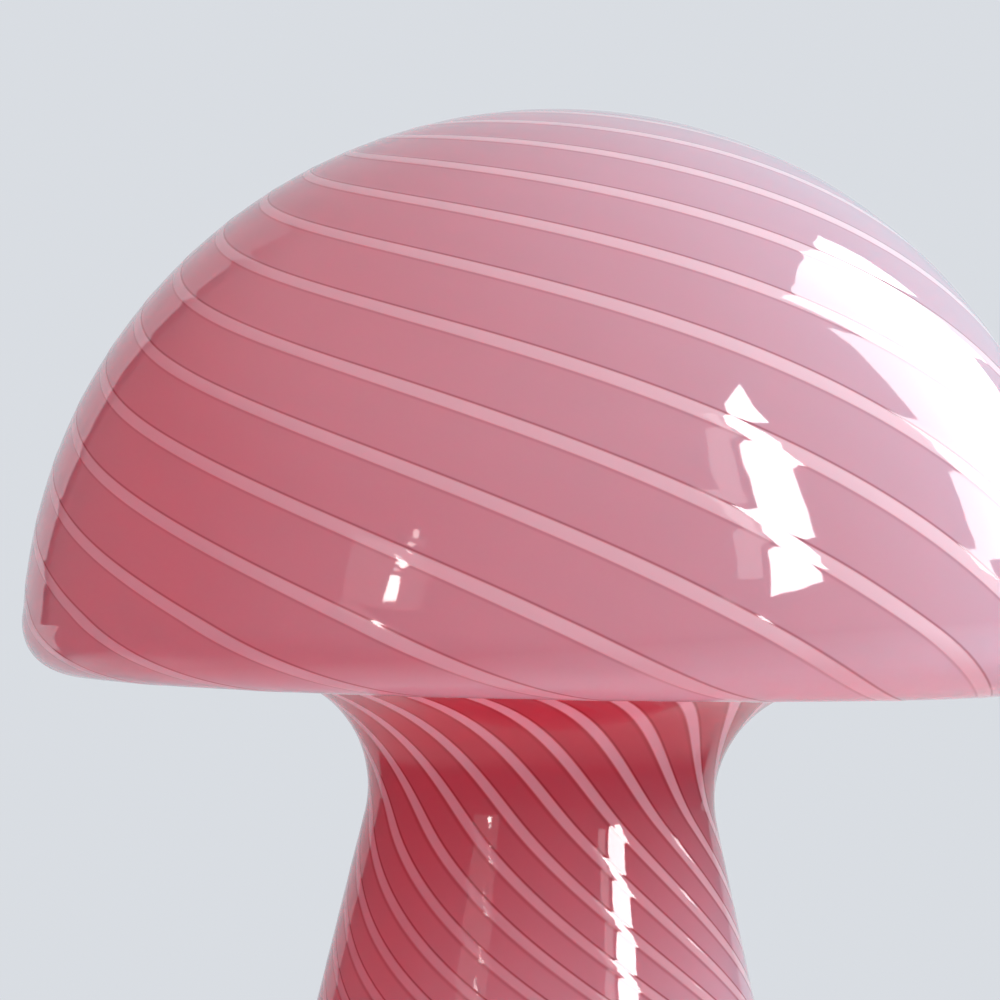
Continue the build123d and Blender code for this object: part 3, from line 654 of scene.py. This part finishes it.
# ------------------------------------------------- lamps
WALL = 1.6  # distance of the windows' wall from the lamp
LOW = 0.2  # height of the lamp's middle, from which the small windows' places are measured
PANES = (
    # small windows: name, azimuths and elevations in degrees from the lamp, radiance, colour
    ("window_echo", (138, 143), (13, 45), 2.6, (1.0, 0.93, 0.95)),
    ("far_window", (-152, -135), (6, 19), 0.9, (1.0, 0.94, 0.94)),
    ("far_window_core", (-147, -144.6), (7.5, 12.4), 22.0, (1.0, 0.95, 0.90)),
    ("far_window_blob", (-147.2, -145.2), (13.4, 15.6), 9.0, (1.0, 0.95, 0.93)),
    ("far_window_top", (-150, -148.6), (18.6, 21.0), 9.0, (1.0, 0.90, 0.85)),
)


def panel(name, corner, edge_a, edge_b, radiance, colour=(1, 1, 1), glossy=True, diffuse=True):
    """A rectangular lamp from a corner and two edges, dark on the side of edge_a x edge_b."""
    a, b = Vector(edge_a), Vector(edge_b)
    data = bpy.data.lights.new(name, "AREA")
    data.shape = "RECTANGLE"
    data.size, data.size_y = a.length, b.length
    data.energy = radiance * math.pi * a.length * b.length
    data.color = colour
    lamp = bpy.data.objects.new(name, data)
    axes = (a.normalized(), b.normalized(), a.cross(b).normalized())
    lamp.rotation_euler = Matrix(axes).transposed().to_euler()
    lamp.location = Vector(corner) + (a + b) / 2
    bpy.context.scene.collection.objects.link(lamp)
    lamp.visible_camera = False
    lamp.visible_glossy = glossy
    lamp.visible_diffuse = diffuse
    lamp.visible_transmission = glossy


def pane(name, azimuths, elevations, radiance, colour):
    """A small window that is only seen mirrored. An azimuth here is 0 along +Y, + to the right."""
    middle = math.radians(sum(azimuths) / 2)
    spread = math.radians(azimuths[0] - azimuths[1])
    away = Vector((math.sin(middle), math.cos(middle), 0)) * WALL
    across = Vector((math.cos(middle), -math.sin(middle), 0)) * WALL * spread
    low, high = (WALL * math.tan(math.radians(e)) for e in elevations)
    corner = away - across / 2 + Vector((0, 0, LOW + low))
    panel(name, corner, across, (0, 0, high - low), radiance, colour, diffuse=False)


panel("window_side", (WALL, 0.27, 0.46), (0, 1.70, 0), (0, 0, 2.20), 7.0)
panel("window_front", (WALL, -1.63, 0.58), (0, 0.54, 0), (0, 0, 1.90), 10.5)
# the same window once more, a little nearer, for a brighter reflection without more light
panel("window_front_glint", (WALL - 0.01, -1.63, 0.58), (0, 0.54, 0), (0, 0, 1.90), 11.0,
      diffuse=False)
for window in PANES:
    pane(*window)

# ------------------------------------------------- the room
BACKDROP = (0.694, 0.723, 0.765)
MIRROR_TINT = (0.95, 0.99, 1.06)  # of the room as the glass mirrors it
FILL_TINT = (1.0, 0.99, 0.98)  # of the room's soft light


def turn_place(degrees):
    """Place on ROOM of an azimuth, which is 0 straight behind the lamp and + to the right."""
    return degrees / 360 + 0.5


# level of the mirrored room by azimuth: the white backdrop behind the lamp with a dark edge, a
# dark left and a lighter right
ROOM = (
    (0.0, 0.25), (turn_place(-100), 0.10), (turn_place(-40), 0.12), (turn_place(-39.5), 0.0),
    (turn_place(-36.5), 0.0), (turn_place(-36.2), 0.78), (turn_place(-33), 0.62),
    (turn_place(-10), 0.66), (turn_place(37), 0.76), (turn_place(38), 0.18),
    (turn_place(90), 0.34), (1.0, 0.25),
)
CEILING = 0.58
OVERHEAD = ((0.0, 0.0), (0.45, 0.0), (0.75, 1.0))  # share of the ceiling by height
# level of the room's soft light by height: straight down, level, straight up
FILL = ((0.0, 0.3), (0.45, 0.16), (0.6, 0.24), (0.85, 0.27), (0.95, 0.45), (1.0, 0.45))


def build_world():
    """The room as the glass mirrors it, its soft light, and a plain backdrop for the camera."""
    world = bpy.data.worlds.new("studio")
    bpy.context.scene.world = world
    world.use_nodes = True
    w = Nodes(world.node_tree)
    w.tree.nodes.clear()

    def background(colour, strength=1.0):
        node = w.add("ShaderNodeBackground")
        node.inputs["Color"].default_value = (*colour, 1)
        w.feed(node.inputs["Strength"], strength)
        return node.outputs[0]

    direction = w.add("ShaderNodeSeparateXYZ")
    w.link(w.add("ShaderNodeTexCoord").outputs["Generated"], direction.inputs[0])
    x, y, z = direction.outputs
    turn = w.math("ADD", w.math("DIVIDE", w.math("ARCTAN2", x, y), FULL_TURN), 0.5)
    room = w.add("ShaderNodeMix")
    w.link(w.level_ramp(z, OVERHEAD), room.inputs[0])
    w.link(w.level_ramp(turn, ROOM), room.inputs[2])
    room.inputs[3].default_value = CEILING
    height = w.math("ADD", w.math("MULTIPLY", z, 0.5), 0.5)
    mirrored = background(MIRROR_TINT, room.outputs[0])
    lit = background(FILL_TINT, w.level_ramp(height, FILL))
    paths = w.add("ShaderNodeLightPath")
    around = w.mix_shaders(paths.outputs["Is Glossy Ray"], lit, mirrored)
    out = w.add("ShaderNodeOutputWorld")
    w.link(w.mix_shaders(w.seen(paths), around, background(BACKDROP)), out.inputs[0])


build_world()
panel("behind", (1.2, 1.5, 0.0), (0, 0, 1.6), (-2.4, 0, 0), 1.3, glossy=False)
panel("side", (1.3, -0.3, 0.60), (0, 0.9, 0), (0, 0, 0.8), 3.2, glossy=False)

# ------------------------------------------------- floor, and a card that only the glass mirrors
FLOOR_HALF = 6.0
FLOOR_COLOUR = (0.62, 0.63, 0.65)
FLOOR_BOUNCE = (0.42, 0.42, 0.44)  # softer than the floor's own paleness would give
FADE_FROM, FADE_TO = 0.25, 0.7  # distances between which the floor goes over into the backdrop
# PALE_SPOT, the wedge and DARK_TABLE shape the floor's glow for glossy rays, a painted reflection
# of the table
PALE_SPOT = (-0.05, 0.12, 0.0)  # the table is mirrored pale round this point
PALE_FROM, PALE_TO = 0.22, 0.36
WEDGE_SLOPE = 1.15  # and in the wedge behind the lamp whose half width grows by this
WEDGE_EDGE = 0.02
DARK_TABLE = (0.10, 0.10, 0.11)
CARD_LEFT, CARD_RIGHT = -0.21, 0.0
CARD_PLACE = 0.165
CARD_BOTTOM, CARD_TOP = 0.001, 0.24
CARD_LIGHT = (0.60, 0.63, 0.675)


def rectangle(name, corners):
    return new_object(name, corners, [(0, 1, 2, 3)], smooth=False)


def floor():
    """A pale table. For glossy rays it glows as a painted reflection: pale near the lamp and under
    the backdrop, else dark.
    """
    low, high = -FLOOR_HALF, FLOOR_HALF
    obj = rectangle("floor", [(low, low, 0), (high, low, 0), (high, high, 0), (low, high, 0)])
    m = Finish("floor")
    place = m.add("ShaderNodeTexCoord").outputs["Object"]
    distance = m.add("ShaderNodeVectorMath", operation="LENGTH")
    m.link(place, distance.inputs[0])
    far = m.spread(distance.outputs["Value"], FADE_FROM, FADE_TO)
    near = m.add("ShaderNodeVectorMath", operation="DISTANCE")
    m.link(place, near.inputs[0])
    near.inputs[1].default_value = PALE_SPOT
    parts = m.add("ShaderNodeSeparateXYZ")
    m.link(place, parts.inputs[0])
    x, y, _ = parts.outputs
    aside = m.math("SUBTRACT", m.math("ABSOLUTE", x), m.math("MULTIPLY", y, WEDGE_SLOPE))
    dark = m.math("MINIMUM", m.spread(near.outputs["Value"], PALE_FROM, PALE_TO),
                  m.spread(aside, -WEDGE_EDGE, WEDGE_EDGE))
    paths = m.add("ShaderNodeLightPath")
    glossy = paths.outputs["Is Glossy Ray"]
    # painted reflection: for glossy rays the floor glows, pale near the lamp and behind it, dark
    # further off
    glow = m.add("ShaderNodeEmission")
    m.link(m.mix(glossy, BACKDROP, m.mix(dark, BACKDROP, DARK_TABLE)), glow.inputs["Color"])
    shade = m.mix(paths.outputs["Is Diffuse Ray"], FLOOR_COLOUR, FLOOR_BOUNCE)
    m.set(Base_Color=shade, Roughness=0.9, IOR=1.3)
    glows = m.math("MAXIMUM", m.math("MULTIPLY", far, m.seen(paths)), glossy)
    m.surface(m.mix_shaders(glows, m.shader.outputs[0], glow.outputs[0]))
    obj.data.materials.append(m.material)
    return obj


def white_card():
    """A card close behind the lamp, to the left, which only the glass mirrors."""
    obj = rectangle("white_card", [
        (CARD_LEFT, CARD_PLACE, CARD_BOTTOM), (CARD_RIGHT, CARD_PLACE, CARD_BOTTOM),
        (CARD_RIGHT, CARD_PLACE, CARD_TOP), (CARD_LEFT, CARD_PLACE, CARD_TOP),
    ])
    m = Finish("white_card")
    m.set(Base_Color=(0, 0, 0, 1), Specular_IOR_Level=0.0)
    m.set(Emission_Color=(*CARD_LIGHT, 1), Emission_Strength=1.0)
    obj.data.materials.append(m.material)
    obj.visible_camera = obj.visible_diffuse = obj.visible_transmission = obj.visible_shadow = False
    return obj


floor()
white_card()
bpy.context.scene.view_settings.view_transform = "Standard"
